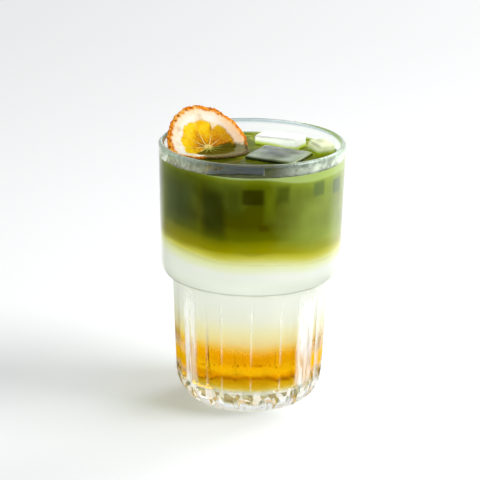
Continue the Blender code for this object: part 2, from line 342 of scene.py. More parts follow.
def make_floor():
    """Wide pale table top."""
    bm = bmesh.new()
    bmesh.ops.create_grid(bm, x_segments=1, y_segments=1, size=4.0)
    floor = add_object("table_top", mesh_from(bm, "table_top"))
    material, add = new_material("matt_white_table_paint")
    add("OutputMaterial", Surface=add("BsdfPrincipled", Base_Color="#f3f3f3", Roughness=0.9,
        Specular_IOR_Level=0.1))
    floor.data.materials.append(material)


def make_flag():
    """Black cloth round the front of the glass, seen only in reflections, thinner to the sides."""
    bm = bmesh.new()
    places = bm.loops.layers.uv.new("turn")
    rows = []
    for column in range(FLAG_COLUMNS + 1):
        share = column / FLAG_COLUMNS
        angle = math.radians(FLAG_LEFT_ANGLE + (FLAG_RIGHT_ANGLE - FLAG_LEFT_ANGLE) * share)
        spot = Vector((math.sin(angle), -math.cos(angle), 0.0))
        rows.append([bm.verts.new(spot * radius + Vector((0.0, 0.0, FLAG_LIFT))) for radius in (FLAG_INNER,
            FLAG_OUTER)])
    for column in range(FLAG_COLUMNS):
        here, after = rows[column], rows[column + 1]
        face = bm.faces.new((here[0], here[1], after[1], after[0]))
        start, end = column / FLAG_COLUMNS, (column + 1) / FLAG_COLUMNS
        for corner, share, out in zip(face.loops, (start, start, end, end), (0.0, 1.0, 1.0, 0.0)):
            corner[places].uv = (share, out)
    mesh = bpy.data.meshes.new("front_flag")
    bm.to_mesh(mesh)
    bm.free()
    flag = add_object("front_flag", mesh)
    material, add = new_material("black_felt")
    across, out, _ = add("SeparateXYZ", Vector=add("UVMap", {"uv_map": "turn"})).outputs
    sides = add("ValToRGB", {0.0: "#000000", 0.06: "#d8d8d8", 0.3: "#f4f4f4", 0.45: "#ffffff",
        0.72: "#ffffff", 0.82: "#f0f0f0", 0.93: "#d0d0d0", 1.0: "#000000"}, Fac=across)
    near = add("ValToRGB", {0.05: "#ffffff", 0.09: "#000000"}, Fac=out)
    cover = add("Math", LARGER, sides, near)
    felt = add("BsdfDiffuse", Color="#0a0a0a")
    add("OutputMaterial", Surface=add("MixShader", Fac=cover, i1=add("BsdfTransparent"), i2=felt))
    mesh.materials.append(material)
    hide_from(flag, "camera", "diffuse", "transmission", "shadow")


def make_back_sheet():
    """Lit sheet far behind, above the picture: only wet and glossy faces mirror it."""
    bm = bmesh.new()
    bm.faces.new([bm.verts.new((x, SHEET_BEHIND, z)) for x, z in SHEET_CORNERS])
    sheet = add_object("back_sheet", mesh_from(bm, "back_sheet"))
    material, add = new_material("lit_white_cloth")
    add("OutputMaterial", Surface=add("Emission", Color="#f4fbff", Strength=0.85))
    sheet.data.materials.append(material)
    hide_from(sheet, "camera", "diffuse", "transmission", "shadow")


def make_studio():
    """Camera, world, table and lights."""
    make_camera()
    make_world()
    make_floor()
    make_flag()
    make_back_sheet()
    for light in LIGHTS:
        add_area_light(*light)
    scene = bpy.context.scene
    scene.view_settings.view_transform = "Standard"
    scene.view_settings.look = "None"
    scene.view_settings.exposure = 0.0
    scene.cycles.max_bounces = 24
    scene.cycles.transmission_bounces = 20
    scene.cycles.transparent_max_bounces = 16
    scene.cycles.glossy_bounces = 8
    scene.cycles.diffuse_bounces = 4


# ---------------- shape helpers

def blend(value, low, high):
    """Smooth 0 to 1 ramp of value between low and high."""
    share = min(1.0, max(0.0, (value - low) / (high - low)))
    return share * share * (3.0 - 2.0 * share)


def add_piece(name, mesh, material, smooth_angle=None):
    """Put a mesh in the scene, shaded smooth, riding on the drink's one body."""
    piece = add_object(name, mesh)
    mesh.materials.append(material)
    mesh.shade_smooth()
    if smooth_angle is not None:
        mesh.set_sharp_from_angle(angle=math.radians(smooth_angle))
    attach(piece, "root")
    return piece


def quarter_ellipse(start, end, steps, leaves_flat):
    """Points after start up to end, which leave start level (or upright) and turn to end."""
    points = []
    for step in range(1, steps + 1):
        angle = 0.5 * math.pi * step / steps
        rise, run = 1.0 - math.cos(angle), math.sin(angle)
        across, up = (run, rise) if leaves_flat else (rise, run)
        points.append((start[0] + (end[0] - start[0]) * across, start[1] + (end[1] - start[1]) * up))
    return points


def line_points(start, end, steps):
    """Evenly spaced points after start up to end."""
    return [tuple(a + (b - a) * step / steps for a, b in zip(start, end)) for step in range(1, steps + 1)]


def ring_mesh(name, rings, columns, radius_at):
    """Closed mesh of stacked rings with one point on the axis at each end."""
    bm = bmesh.new()
    first = bm.verts.new((0.0, 0.0, rings[0][1]))
    last = bm.verts.new((0.0, 0.0, rings[-1][1]))
    loops = []
    for ring in rings:
        loop = []
        for column in range(columns):
            angle = FIRST_RIB_ANGLE + 2.0 * math.pi * column / columns
            radius = radius_at(ring, column)
            loop.append(bm.verts.new((radius * math.cos(angle), radius * math.sin(angle), ring[1])))
        loops.append(loop)
    for column in range(columns):
        after = (column + 1) % columns
        bm.faces.new((first, loops[0][after], loops[0][column]))
        bm.faces.new((last, loops[-1][column], loops[-1][after]))
        for lower, upper in zip(loops, loops[1:]):
            bm.faces.new((lower[column], lower[after], upper[after], upper[column]))
    return mesh_from(bm, name)


# ---------------- glass

def outer_profile():
    """Rings of the outside, from the foot up to the lip: radius, height, flute share."""
    points = [(0.5 * FOOT_RADIUS, 0.0), (0.9 * FOOT_RADIUS, 0.0), (FOOT_RADIUS, 0.0)]
    points += quarter_ellipse(points[-1], (HEEL_RADIUS, HEEL_HEIGHT), 20, leaves_flat=True)
    under_step = STEP_HEIGHT + STEP_UNDERCUT
    points += line_points(points[-1], (WAIST_RADIUS, under_step), 16)
    rings = [(radius, height, blend(height, FLUTE_FOOT, FLUTE_FULL)) for radius, height in points]
    rings.append((WAIST_RADIUS + 0.4 * MM, under_step + 0.2 * MM, 0.0))
    rings.append((STEP_RADIUS - 0.5 * MM, STEP_HEIGHT + 0.1 * MM, 0.0))
    rings.append((STEP_RADIUS, STEP_HEIGHT, 0.0))
    plain = quarter_ellipse((STEP_RADIUS, STEP_HEIGHT), (SHOULDER_RADIUS, SHOULDER_HEIGHT), 10, True)
    plain += line_points(plain[-1], (RIM_RADIUS, GLASS_HEIGHT - LIP_RADIUS), 8)
    return rings + [(radius, height, 0.0) for radius, height in plain]


def lip_profile():
    """Half circle over the rim, from the outside to the inside."""
    middle = RIM_RADIUS - LIP_RADIUS
    steps = 12
    rings = []
    for step in range(1, steps):
        angle = math.pi * step / steps
        height = GLASS_HEIGHT - LIP_RADIUS + LIP_RADIUS * math.sin(angle)
        rings.append((middle + LIP_RADIUS * math.cos(angle), height, 0.0))
    return rings


def cavity_profile(grow=0.0):
    """Inside of the glass from the floor's edge up to the rim, widened by grow."""
    corner = CORNER_RADIUS + grow
    floor = FLOOR_HEIGHT - grow
    low = CAVITY_RADIUS_LOW + grow
    waist = CAVITY_RADIUS_WAIST + grow
    wide = CAVITY_RADIUS_SHOULDER + grow
    points = [(low - corner, floor)]
    points += quarter_ellipse(points[0], (low, floor + corner), 12, leaves_flat=True)
    points += line_points(points[-1], (waist, CAVITY_WAIST_HEIGHT), 10)
    steps = 12
    for step in range(1, steps + 1):
        share = step / steps
        height = CAVITY_WAIST_HEIGHT + (CAVITY_SHOULDER_HEIGHT - CAVITY_WAIST_HEIGHT) * share
        points.append((waist + (wide - waist) * blend(share, 0.0, 1.0), height))
    points += line_points(points[-1], (RIM_RADIUS - 2.0 * LIP_RADIUS + grow, GLASS_HEIGHT - LIP_RADIUS), 10)
    return points


def cavity_radius(height):
    """Radius of the inside wall at a height above its rounded corner."""
    if height < CAVITY_WAIST_HEIGHT:
        above = height - FLOOR_HEIGHT - CORNER_RADIUS
        share = above / (CAVITY_WAIST_HEIGHT - FLOOR_HEIGHT - CORNER_RADIUS)
        return CAVITY_RADIUS_LOW + (CAVITY_RADIUS_WAIST - CAVITY_RADIUS_LOW) * share
    if height < CAVITY_SHOULDER_HEIGHT:
        share = (height - CAVITY_WAIST_HEIGHT) / (CAVITY_SHOULDER_HEIGHT - CAVITY_WAIST_HEIGHT)
        return CAVITY_RADIUS_WAIST + (CAVITY_RADIUS_SHOULDER - CAVITY_RADIUS_WAIST) * blend(share, 0.0, 1.0)
    return CAVITY_RADIUS_SHOULDER + CAVITY_TAPER * (height - CAVITY_SHOULDER_HEIGHT)


def glass_radius(ring, column):
    """Radius of an outside ring at one column, lowered in the flutes."""
    radius, _, flute = ring
    pitch = 2.0 * math.pi / FLUTE_COUNT
    from_rib = (column % COLUMNS_PER_FLUTE) * pitch / COLUMNS_PER_FLUTE
    from_flute = abs(from_rib - 0.5 * pitch) / (0.5 * pitch - RIB_HALF_ANGLE)
    scoop = max(0.0, 1.0 - from_flute ** 2)
    return radius - FLUTE_DEPTH * flute * scoop


def glass_material():
    """Clear pressed soda glass with a bluish lip, painted highlights on its flanks, creases and lip crest,
    painted orange at its edges and painted sparkle in the thick foot.
    """
    material, add = new_material("clear_pressed_soda_glass")
    place = add("TexCoord").outputs["Object"]
    x, y, z = add("SeparateXYZ", Vector=place).outputs
    up_body = add("MapRange", Value=z, From_Max=STEP_HEIGHT)
    up_foot = add("MapRange", Value=z, From_Max=FOOT_ZONE)

    # Body: faint waves left by the mould, a painted grey shade line under the step, a lip seen edge on
    waves = add("TexNoise", Vector=place, Scale=scale_for(16.667), Detail=1.0)
    bump = add("Bump", Strength=0.04, Distance=0.0006, Height=waves)
    under_step = add("MapRange", Value=z, From=(STEP_HEIGHT - STEP_SHADE_HALF, STEP_HEIGHT + STEP_SHADE_HALF))
    painted_step_shade = add("ValToRGB", {0.0: "#fbfdfc", 0.35: "#a4aca4", 0.8: "#a4aca4", 1.0: "#fbfdfc"},
        Fac=under_step)
    to_lip = add("MapRange", Value=z, From=(GLASS_HEIGHT - 2.8 * MM, GLASS_HEIGHT - 1.2 * MM))
    thickened = add("Mix", BLEND, to_lip, i6=painted_step_shade, i7="#b0c4c8")
    clear = add("BsdfPrincipled", Base_Color=thickened, Roughness=0.0, IOR=GLASS_IOR,
        Transmission_Weight=1.0, Normal=bump)

    # Flanks: painted highlights in white streaks on the far half of each flute, and in a column near either
    # edge
    flat = add("VectorMath", TIMES, place, (1.0, 1.0, 0.0))
    outward = add("VectorMath", {"operation": "NORMALIZE"}, flat)
    edge_on = add("LayerWeight", Blend=0.5, Normal=outward).outputs["Facing"]
    facing = add("LayerWeight", Blend=0.5).outputs["Facing"]
    turned = add("Math", MINUS, edge_on, facing)
    painted_flank_highlight = add("MapRange", SMOOTH, Value=turned, From=(0.045, 0.11), To_Max=0.84)
    aside = add("MapRange", SMOOTH, Value=edge_on, From=(0.22, 0.28))
    rim = add("MapRange", SMOOTH, Value=edge_on, From=(0.72, 0.62))
    for part in (aside, rim):
        painted_flank_highlight = add("Math", TIMES, painted_flank_highlight, part)
    leftness = add("MapRange", SMOOTH, Value=x, From=mm(10.0, -20.0))
    inner = add("Math", TIMES_PLUS, leftness, -0.06, edge_on)
    outer = add("Math", TIMES_PLUS, leftness, 0.045, edge_on)
    column = add("MapRange", SMOOTH, Value=inner, From=(0.27, 0.33), To_Max=0.78)
    narrow = add("MapRange", SMOOTH, Value=outer, From=(0.54, 0.47))
    lit_side = add("MapRange", SMOOTH, Value=x, From=mm(-20.0, 10.0), To_Min=0.85)
    above_heel = add("MapRange", SMOOTH, Value=z, From=mm(9.0, 21.0))
    for part in (narrow, lit_side, above_heel):
        column = add("Math", TIMES, column, part)
    painted_flank_highlight = add("Math", LARGER, painted_flank_highlight, column)
    drawn = add("VectorMath", TIMES, place, (scale_for(1.4286), scale_for(1.4286), scale_for(16.667)))
    streaks = add("TexNoise", Vector=drawn, Scale=1.0, Detail=2.0)
    streaky = add("MapRange", Value=streaks, From=(0.36, 0.52), To=(0.5, 1.0))
    painted_flank_highlight = add("Math", TIMES, painted_flank_highlight, streaky)

    # Creases: a painted highlight, a thin bright line down the middle of each rib
    turn = add("Math", ANGLE_OF, y, x)
    ribs = add("Math", TIMES_PLUS, turn, FLUTE_COUNT / (2.0 * math.pi),
        FLUTE_COUNT * (1.0 - (FIRST_RIB_ANGLE - RIB_HALF_ANGLE) / (2.0 * math.pi)) + 0.5)
    along = add("Math", FRACTION, ribs)
    off = add("Math", UNSIGNED, add("Math", MINUS, along, 0.5))
    painted_crease_line = add("MapRange", SMOOTH, Value=off, From=(0.050, 0.012), To_Max=0.26)
    low = add("MapRange", SMOOTH, Value=z, From=(STEP_HEIGHT - 1.0 * MM, STEP_HEIGHT - 12.0 * MM))
    shine = add("Math", TIMES, add("Math", LARGER, painted_flank_highlight, painted_crease_line), low)

    # Edges beside the orange layer, which take its colour as painted orange light where they are seen edge
    # on
    beside = add("ValToRGB", {0.27: "#000000", 0.34: "#ffffff", 0.42: "#ffffff", 0.54: "#000000"},
        Fac=up_body)
    limb = add("MapRange", SMOOTH, Value=edge_on, From=(0.42, 0.54), To_Max=0.78)
    tinted_light = add("Math", TIMES, limb, beside)
    # Lip crest: a faint painted highlight
    lip = add("MapRange", SMOOTH, Value=z, From=(GLASS_HEIGHT - 1.6 * MM, GLASS_HEIGHT - 0.3 * MM),
        To_Max=0.08)

    # Foot: painted sparkle and painted reflections in small cells between the ribs, silvery and dark green,
    # stronger on the near side, with painted golden slivers
    foot = add("ValToRGB", {0.3: "#000000", 0.4: "#ffffff", 0.6: "#ffffff", 0.75: "#000000"}, Fac=up_foot)
    cells = add("Math", TIMES, ribs, SPARKLE_CELLS_PER_FLUTE)
    rows = add("Math", TIMES, z, scale_for(3.3333))
    sparkle_cell_pattern = add("TexVoronoi", {"voronoi_dimensions": "2D", "feature": "SMOOTH_F1"},
        Vector=add("CombineXYZ", X=cells, Y=rows), Scale=1.0, Smoothness=0.35)
    chance = add("SeparateColor", Color=sparkle_cell_pattern.outputs["Color"])
    sparkle = add("ValToRGB", {0.25: "#9c9c9c", 0.36: "#b4b4b4", 0.55: "#a0a0a0", 0.64: "#c4c4c4",
        1.0: "#d8d8d8"}, Fac=chance)
    painted_foot_reflections = add("ValToRGB", {0.3: "#465c36", 0.42: "#8c9c80", 0.54: "#d0dccc", 0.62: "#ffffff"},
        Fac=chance)
    near_side = add("MapRange", SMOOTH, Value=y, From=mm(12.0, -4.0), To_Min=0.25)
    for part in (foot, near_side):
        sparkle = add("Math", TIMES, sparkle, part)
    between = add("Math", PLUS, ribs, 0.5 - FLUTE_COUNT * RIB_HALF_ANGLE / (2.0 * math.pi))
    between = add("Math", MINUS, add("Math", FRACTION, between), 0.5)
    middle = add("MapRange", SMOOTH, Value=add("Math", UNSIGNED, between), From=(0.22, 0.08))
    sliver = add("ValToRGB", {0.36: "#000000", 0.41: "#d8d8d8", 0.44: "#d8d8d8", 0.49: "#000000"},
        Fac=up_foot)
    painted_golden_slivers = add("Math", TIMES, middle, sliver)

    # The strongest of these covers the clear body with painted light, a diffuse glow
    amount = shine
    for part in (tinted_light, lip, sparkle, painted_golden_slivers):
        amount = add("Math", LARGER, amount, part)
    unlit = add("Math", TIMES_PLUS, painted_flank_highlight, -1.0, 1.0)
    colour = add("Mix", BLEND, add("Math", TIMES, unlit, beside), i6="#ffffff", i7="#ffc00c")
    colour = add("Mix", BLEND, foot, i6=colour, i7=painted_foot_reflections)
    colour = add("Mix", BLEND, painted_golden_slivers, i6=colour, i7="#d89c20")
    gathered = add("MixShader", Fac=0.3, i1=add("BsdfDiffuse", Color=colour),
        i2=add("BsdfTranslucent", Color=colour))
    let_light_through(add, add("MixShader", Fac=amount, i1=clear, i2=gathered), GLASS_TINT)
    return material


def wetted_material():
    """The same glass where liquid touches it: mirrors past the critical angle, a wet film above painted as
    a pale sheen, at the front to either side and brightest on the right.
    """
    material, add = new_material("soda_glass_against_liquid")
    place = add("TexCoord").outputs["Object"]
    x, y, z = add("SeparateXYZ", Vector=place).outputs
    total = add("MapRange", Value=add("Fresnel", IOR=GLASS_IOR), From=(0.55, 0.98))
    bends = add("BsdfRefraction", Color="#fdfefd", Roughness=0.0, IOR=GLASS_IOR)
    mirrors = add("BsdfGlossy", Color="#ffffff", Roughness=0.0)
    clear = add("MixShader", Fac=total, i1=bends, i2=mirrors)
    # Painted sheen: the film shows only at the front, weak on the left and strongest on the right
    right = add("MapRange", SMOOTH, Value=x, From=mm(6.0, 32.0), To_Max=1.10)
    left = add("MapRange", SMOOTH, Value=x, From=mm(-14.0, -27.0), To_Max=0.42)
    front = add("MapRange", SMOOTH, Value=y, From=mm(8.0, -4.0))
    dry = add("MapRange", SMOOTH, Value=z, From=(DRINK_TOP - 0.1 * MM, DRINK_TOP + 2.6 * MM))
    drops = add("TexNoise", Vector=place, Scale=scale_for(3.8462), Detail=3.0, Distortion=0.8)
    wet = add("MapRange", Value=drops, From=(0.36, 0.60), To=(0.40, 0.90))
    film = add("Math", PLUS, right, left)
    for part in (front, dry, wet):
        film = add("Math", TIMES, film, part)
    veil = add("MixShader", Fac=0.5, i1=add("BsdfTranslucent", Color=FILM_COLOUR),
        i2=add("BsdfDiffuse", Color=FILM_COLOUR))
    let_light_through(add, add("MixShader", Fac=film, i1=clear, i2=veil), GLASS_TINT)
    return material


def make_glass():
    """The tumbler with its flutes, step and rounded lip."""
    inside = [(radius, height, 0.0) for radius, height in reversed(cavity_profile())]
    inside.append((0.4 * CAVITY_RADIUS_LOW, FLOOR_HEIGHT, 0.0))
    rings = outer_profile() + lip_profile() + inside
    mesh = ring_mesh("glass_tumbler", rings, FLUTE_COUNT * COLUMNS_PER_FLUTE, glass_radius)
    glass = add_piece("glass_tumbler", mesh, glass_material(), smooth_angle=50)
    mesh.materials.append(wetted_material())
    for face in mesh.polygons:
        spot = face.center
        inside = math.hypot(spot.x, spot.y) < cavity_radius(spot.z) + SKIN_DEPTH
        if inside and FLOOR_HEIGHT - 0.1 * MM < spot.z < GLASS_HEIGHT - 2.5 * MM:
            face.material_index = 1
    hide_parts("glass")


# ---------------- drink

def by_height(stops):
    """Colour stops given in millimetres above the table, as shares of the drink's height."""
    return {height * MM / DRINK_TOP: colour for height, colour in stops.items()}


def drink_height(add, place, stir):
    """Height in the glass as a share of the drink, stirred by slow swirls of up to stir metres."""
    x, _, z = add("SeparateXYZ", Vector=place).outputs
    swirl = add("TexNoise", Vector=place, Scale=scale_for(41.667), Detail=2.0)
    centred = add("Math", MINUS, swirl, 0.5)
    lifted = add("Math", TIMES_PLUS, centred, stir, z)
    leftward = add("MapRange", SMOOTH, Value=x, From=mm(-10.0, -34.0))
    rightward = add("MapRange", SMOOTH, Value=x, From=mm(3.0, 24.0), To_Max=-0.55)
    sloped = add("Math", PLUS, leftward, rightward)
    upper = add("MapRange", SMOOTH, Value=z, From=mm(58.0, 76.0), To_Max=-FADE_SLOPE)
    tilted = add("Math", TIMES_PLUS, sloped, upper, lifted)
    return add("MapRange", Value=tilted, From_Max=DRINK_TOP)


def drink_material():
    """Three liquids behind the wall: clear orange, cloudy tonic, matcha too thick to see through."""
    material, add = new_material("layered_orange_tonic_and_matcha")
    place = add("TexCoord").outputs["Object"]
    x, y, z = add("SeparateXYZ", Vector=place).outputs
    share = drink_height(add, place, 7.0 * MM)
    still = drink_height(add, place, 0.0)

    # What each height is like: colours of the three liquids, and how far one sees into them
    thick = add("ValToRGB", by_height({76: "#d0c838", 80: "#a49c00", 83.5: "#787800", 87: "#565a00",
        93: "#404000", 104: "#3e4200", 110: "#4a5202", 112.9: "#646e0e", 113.4: "#8c9c60"}), Fac=share)
    cloudy = add("ValToRGB", by_height({20: "#f0a800", 27: "#f8a800", 30: "#fbb414", 32.5: "#ffd878",
        36: "#fff4cc", 41.4: "#fffae0", 46: "#fffef4", 53: "#ffffff", 70: "#ffffff", 74: "#f8f8c8",
        78: "#d8d050", 81: "#a8a000"}), Fac=share)
    tint = add("ValToRGB", by_height({34: "#ffffff", 42: "#fefefc", 70: "#fdfefc", 73.5: "#f6f8d4",
        77.4: "#dcd570", 80.5: "#afa610", 84: "#807c00"}), Fac=share)
    depth = add("ValToRGB", by_height({9: "#ffffff", 12.5: "#fcf0c8", 15: "#f4d060", 17.5: "#ecc430",
        20.5: "#f4cc40", 22.5: "#fff8d8", 25: "#fffcf0", 27: "#f8ecd8", 30: "#f6ecd0", 33: "#ffffff"}),
        Fac=still)
    passed = add("ValToRGB", by_height({12: "#8c949c", 28: "#98a0a8", 38: "#fcfdf8", 72: "#f4f7e8",
        82: "#303408", 85: "#000000"}), Fac=still)
    rough = add("ValToRGB", by_height({12: "#484848", 15: "#888888", 20.5: "#888888", 24: "#484848",
        27: "#101010", 30: "#484848", 40: "#585858", 68: "#606060", 76: "#909090"}), Fac=still)
    haze = add("ValToRGB", by_height({26: "#000000", 29: "#606060", 31.5: "#989898", 34.5: "#c2c2c2",
        38: "#d8d8d8", 44: "#ececec"}), Fac=share)
    opaque = add("ValToRGB", by_height({76: "#000000", 80: "#909090", 83.5: "#d8d8d8", 86.5: "#ffffff"}),
        Fac=share)

    # Orange and tonic: bent light, tinted where it enters, under a growing haze
    leaving = add("NewGeometry").outputs["Backfacing"]
    entry = add("Mix", BLEND, leaving, i6=depth, i7="#ffffff")
    tinted_light = add("Mix", {"data_type": "RGBA", "blend_type": "MULTIPLY"}, 1.0, i6=tint, i7=entry)
    clear = add("BsdfRefraction", Color=tinted_light, Roughness=rough, IOR=DRINK_IOR)
    cloud = add("MixShader", Fac=0.58, i1=add("BsdfDiffuse", Color=cloudy),
        i2=add("BsdfTranslucent", Color=cloudy))

    # Matcha: paler to the sides as painted light, most on the lit right, with random mottling; darker where
    # ice lies against the wall, as painted shade
    rightward = add("MapRange", SMOOTH, Value=x, From=mm(-2.0, 42.0), To_Max=0.44)
    leftward = add("MapRange", SMOOTH, Value=x, From=mm(-28.0, -40.0), To_Max=0.20)
    sideways = add("Math", PLUS, rightward, leftward)
    drift = add("TexNoise", Vector=place, Scale=scale_for(18.182), Detail=2.0)
    uneven = add("MapRange", Value=drift, From=(0.35, 0.65), To=(-0.10, 0.10))
    painted_side_light_and_mottling = add("Math", {"operation": "ADD", "use_clamp": True}, sideways, uneven)
    stirred = add("Mix", BLEND, painted_side_light_and_mottling, i6=thick, i7="#a4b850")
    turn = add("Math", ANGLE_OF, x, add("Math", TIMES, y, -1.0))
    # Each square of painted shade, soft at its edges
    for degrees, half_width, middle, half_height, soft, colour in SUNKEN_ICE_PAINTED_SHADE:
        sides = []
        for spot, centre, half in ((turn, math.radians(degrees), math.radians(half_width)),
                                   (z, middle * MM, half_height * MM)):
            away = add("Math", DIVIDED, add("Math", MINUS, spot, centre), half)
            sides.append(add("Math", UNSIGNED, away))
        square = add("Math", {"operation": "SMOOTH_MAX"}, sides[0], sides[1], 0.5)
        shown = add("MapRange", SMOOTH, Value=square, From=(1.0 + soft, 1.0 - soft),
            To_Max=SUNKEN_ICE_PAINTED_SHADE_SHOWS)
        stirred = add("Mix", BLEND, shown, i6=stirred, i7=colour)

    light = add("MixShader", Fac=haze, i1=clear, i2=cloud)
    body = add("MixShader", Fac=opaque, i1=light, i2=add("BsdfDiffuse", Color=stirred))
    let_light_through(add, body, passed)
    return material


def underside_material():
    """Where matcha sinks into the tonic: pale, cloudy yellow-green, seen from below."""
    material, add = new_material("matcha_cloud_in_tonic")
    drift = add("TexNoise", Vector=add("TexCoord").outputs["Object"], Scale=scale_for(16.667), Detail=3.0)
    colour = add("ValToRGB", {0.35: "#a8a840", 0.55: "#d4d890", 0.7: "#f4f8d8"}, Fac=drift)
    add("OutputMaterial", Surface=add("BsdfDiffuse", Color=colour))
    return material


def make_underside():
    """Billowing lower face of the matcha, across the glass inside the drink."""
    radius = cavity_radius(UNDERSIDE_HEIGHT) - 0.4 * MM
    rings = [(radius * step / UNDERSIDE_LEVELS, UNDERSIDE_HEIGHT, 0.0)
             for step in range(1, UNDERSIDE_LEVELS + 1)]
    rings += [(ring[0], UNDERSIDE_HEIGHT + UNDERSIDE_THICKNESS, 0.0) for ring in reversed(rings)]
    mesh = ring_mesh("matcha_underside", rings, UNDERSIDE_COLUMNS, lambda ring, column: ring[0])
    for vertex in mesh.vertices:
        if vertex.co.z < UNDERSIDE_HEIGHT + 0.5 * UNDERSIDE_THICKNESS:
            vertex.co.z += UNDERSIDE_WAVE * noise.noise(vertex.co * 90.0)
    cloud = add_piece("matcha_underside", mesh, underside_material(), smooth_angle=60)


def surface_material():
    """Open surface of the matcha: wet and level, with fine froth drawn out by the stirring."""
    material, add = new_material("wet_matcha_surface")
    place = add("TexCoord").outputs["Object"]
    _, y, _ = add("SeparateXYZ", Vector=place).outputs
    froth = add("TexNoise", Vector=place, Scale=scale_for(11.111), Detail=4.0, Distortion=1.5)
    colour = add("ValToRGB", {0.35: "#4a5200", 0.55: "#666c08", 0.68: "#8c9430"}, Fac=froth)
    # Painted shade: darker towards the front
    painted_front_shade = add("MapRange", SMOOTH, Value=y, From=mm(4.0, -20.0), To_Max=0.8)
    colour = add("Mix", BLEND, painted_front_shade, i6=colour, i7="#22240a")
    ripple = add("TexNoise", Vector=place, Scale=scale_for(22.222), Detail=1.0)
    bump = add("Bump", Strength=0.12, Distance=0.001, Height=ripple)
    add("OutputMaterial", Surface=add("BsdfPrincipled", Base_Color=colour, Roughness=0.08, IOR=DRINK_IOR,
        Specular_IOR_Level=0.04, Normal=bump))
    return material


def drink_top_profile():
    """Surface of the drink from the wall to the middle, with the meniscus at the wall."""
    wall = RIM_RADIUS - 2.0 * LIP_RADIUS + INTO_WALL
    points = []
    steps = MENISCUS_STEPS
    for step in range(steps + 1):
        inward = 3.0 * MENISCUS_REACH * (step / steps) ** 1.5
        rise = MENISCUS_RISE * math.exp(-inward / (0.35 * MENISCUS_REACH))
        points.append((wall - inward, DRINK_TOP + rise))
    points += line_points(points[-1], (2.0 * MM, DRINK_TOP), 8)
    return points


def make_drink(cutters):
    """The whole drink as one body from the floor of the glass to the surface."""
    wall = [point for point in cavity_profile(INTO_WALL) if point[1] < DRINK_TOP - 1.0 * MM]
    profile = [(0.4 * CAVITY_RADIUS_LOW, FLOOR_HEIGHT - INTO_WALL)] + wall + drink_top_profile()
    rings = [(radius, height, 0.0) for radius, height in profile]
    mesh = ring_mesh("drink", rings, DRINK_COLUMNS, lambda ring, column: ring[0])
    drink = add_piece("drink", mesh, drink_material(), smooth_angle=40)
    for cutter in cutters:
        cut = drink.modifiers.new("round_" + cutter.name, "BOOLEAN")
        cut.operation = "DIFFERENCE"
        cut.object = cutter
        cut.solver = "EXACT"
    apply_modifiers(drink)
    drink.data.set_sharp_from_angle(angle=math.radians(40))
    drink.data.materials.append(surface_material())
    for face in drink.data.polygons:
        off_wall = cavity_radius(face.center.z) - math.hypot(face.center.x, face.center.y)
        if face.center.z > ABOVE_WALLS and off_wall > SKIN_DEPTH:
            face.material_index = 1
    for cutter in cutters:
        bpy.data.objects.remove(cutter, do_unlink=True)
    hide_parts("drink_tonic", "drink_matcha")


def orange_material():
    """Orange syrup under the tonic: clear, its colour grows with the depth looked through."""
    material, add = new_material("clear_orange_syrup")
    clear = add("BsdfPrincipled", Base_Color="#ffffff", Roughness=0.0, IOR=1.0, Transmission_Weight=1.0)
    let_light_through(add, clear, "#ffffff", Volume=add("VolumeAbsorption", Color="#fef100", Density=120.0))
    return material


def make_orange():
    """Orange syrup just inside the drink, with a slow wave on its top."""
    wall = [point for point in cavity_profile(-OFF_WALL) if point[1] < ORANGE_TOP - 0.5 * MM]
    edge = wall[-1][0] + 0.02 * MM
    top = [(edge * share, ORANGE_TOP) for share in (1.0, 0.97, 0.9, 0.8, 0.65, 0.5, 0.35, 0.2, 0.08)]
    profile = [(0.3 * CAVITY_RADIUS_LOW, wall[0][1])] + wall + top
    rings = [(radius, height, 0.0) for radius, height in profile]
    mesh = ring_mesh("orange_syrup", rings, DRINK_COLUMNS, lambda ring, column: ring[0])
    for vertex in mesh.vertices:
        if vertex.co.z > ORANGE_TOP - 0.1 * MM:
            vertex.co.z += ORANGE_WAVE * noise.noise(vertex.co * 60.0)
    syrup = add_piece("orange_syrup", mesh, orange_material(), smooth_angle=40)
    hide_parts("drink_orange")


def apply_modifiers(item):
    """Swap an object's mesh for what its modifiers make."""
    depsgraph = bpy.context.evaluated_depsgraph_get()
    made = bpy.data.meshes.new_from_object(item.evaluated_get(depsgraph))
    item.modifiers.clear()
    item.data = made


# ---------------- ice

def ice_mesh(name, spec, grow, edge, segments):
    """Block with worn edges; grow moves every face out."""
    length, width = (side * MM + 2.0 * grow for side in spec["size"])
    low = spec["low"] * MM - grow
    high = spec["high"] * MM + grow
    bm = bmesh.new()
    bmesh.ops.create_cube(bm, size=1.0)
    bmesh.ops.scale(bm, vec=(length, width, high - low), verts=bm.verts[:])
    bmesh.ops.bevel(bm, geom=bm.edges[:], offset=edge, segments=segments, profile=0.5, affect="EDGES")
    middle = Vector((spec["centre"][0] * MM, spec["centre"][1] * MM, 0.5 * (low + high)))
    turn = Matrix.Rotation(math.radians(spec["turn"]), 4, "Z")
    tilt = Matrix.Rotation(math.radians(spec["tilt"]), 4, "Y")
    bmesh.ops.transform(bm, matrix=Matrix.Translation(middle) @ turn @ tilt, verts=bm.verts[:])
    return mesh_from(bm, name)


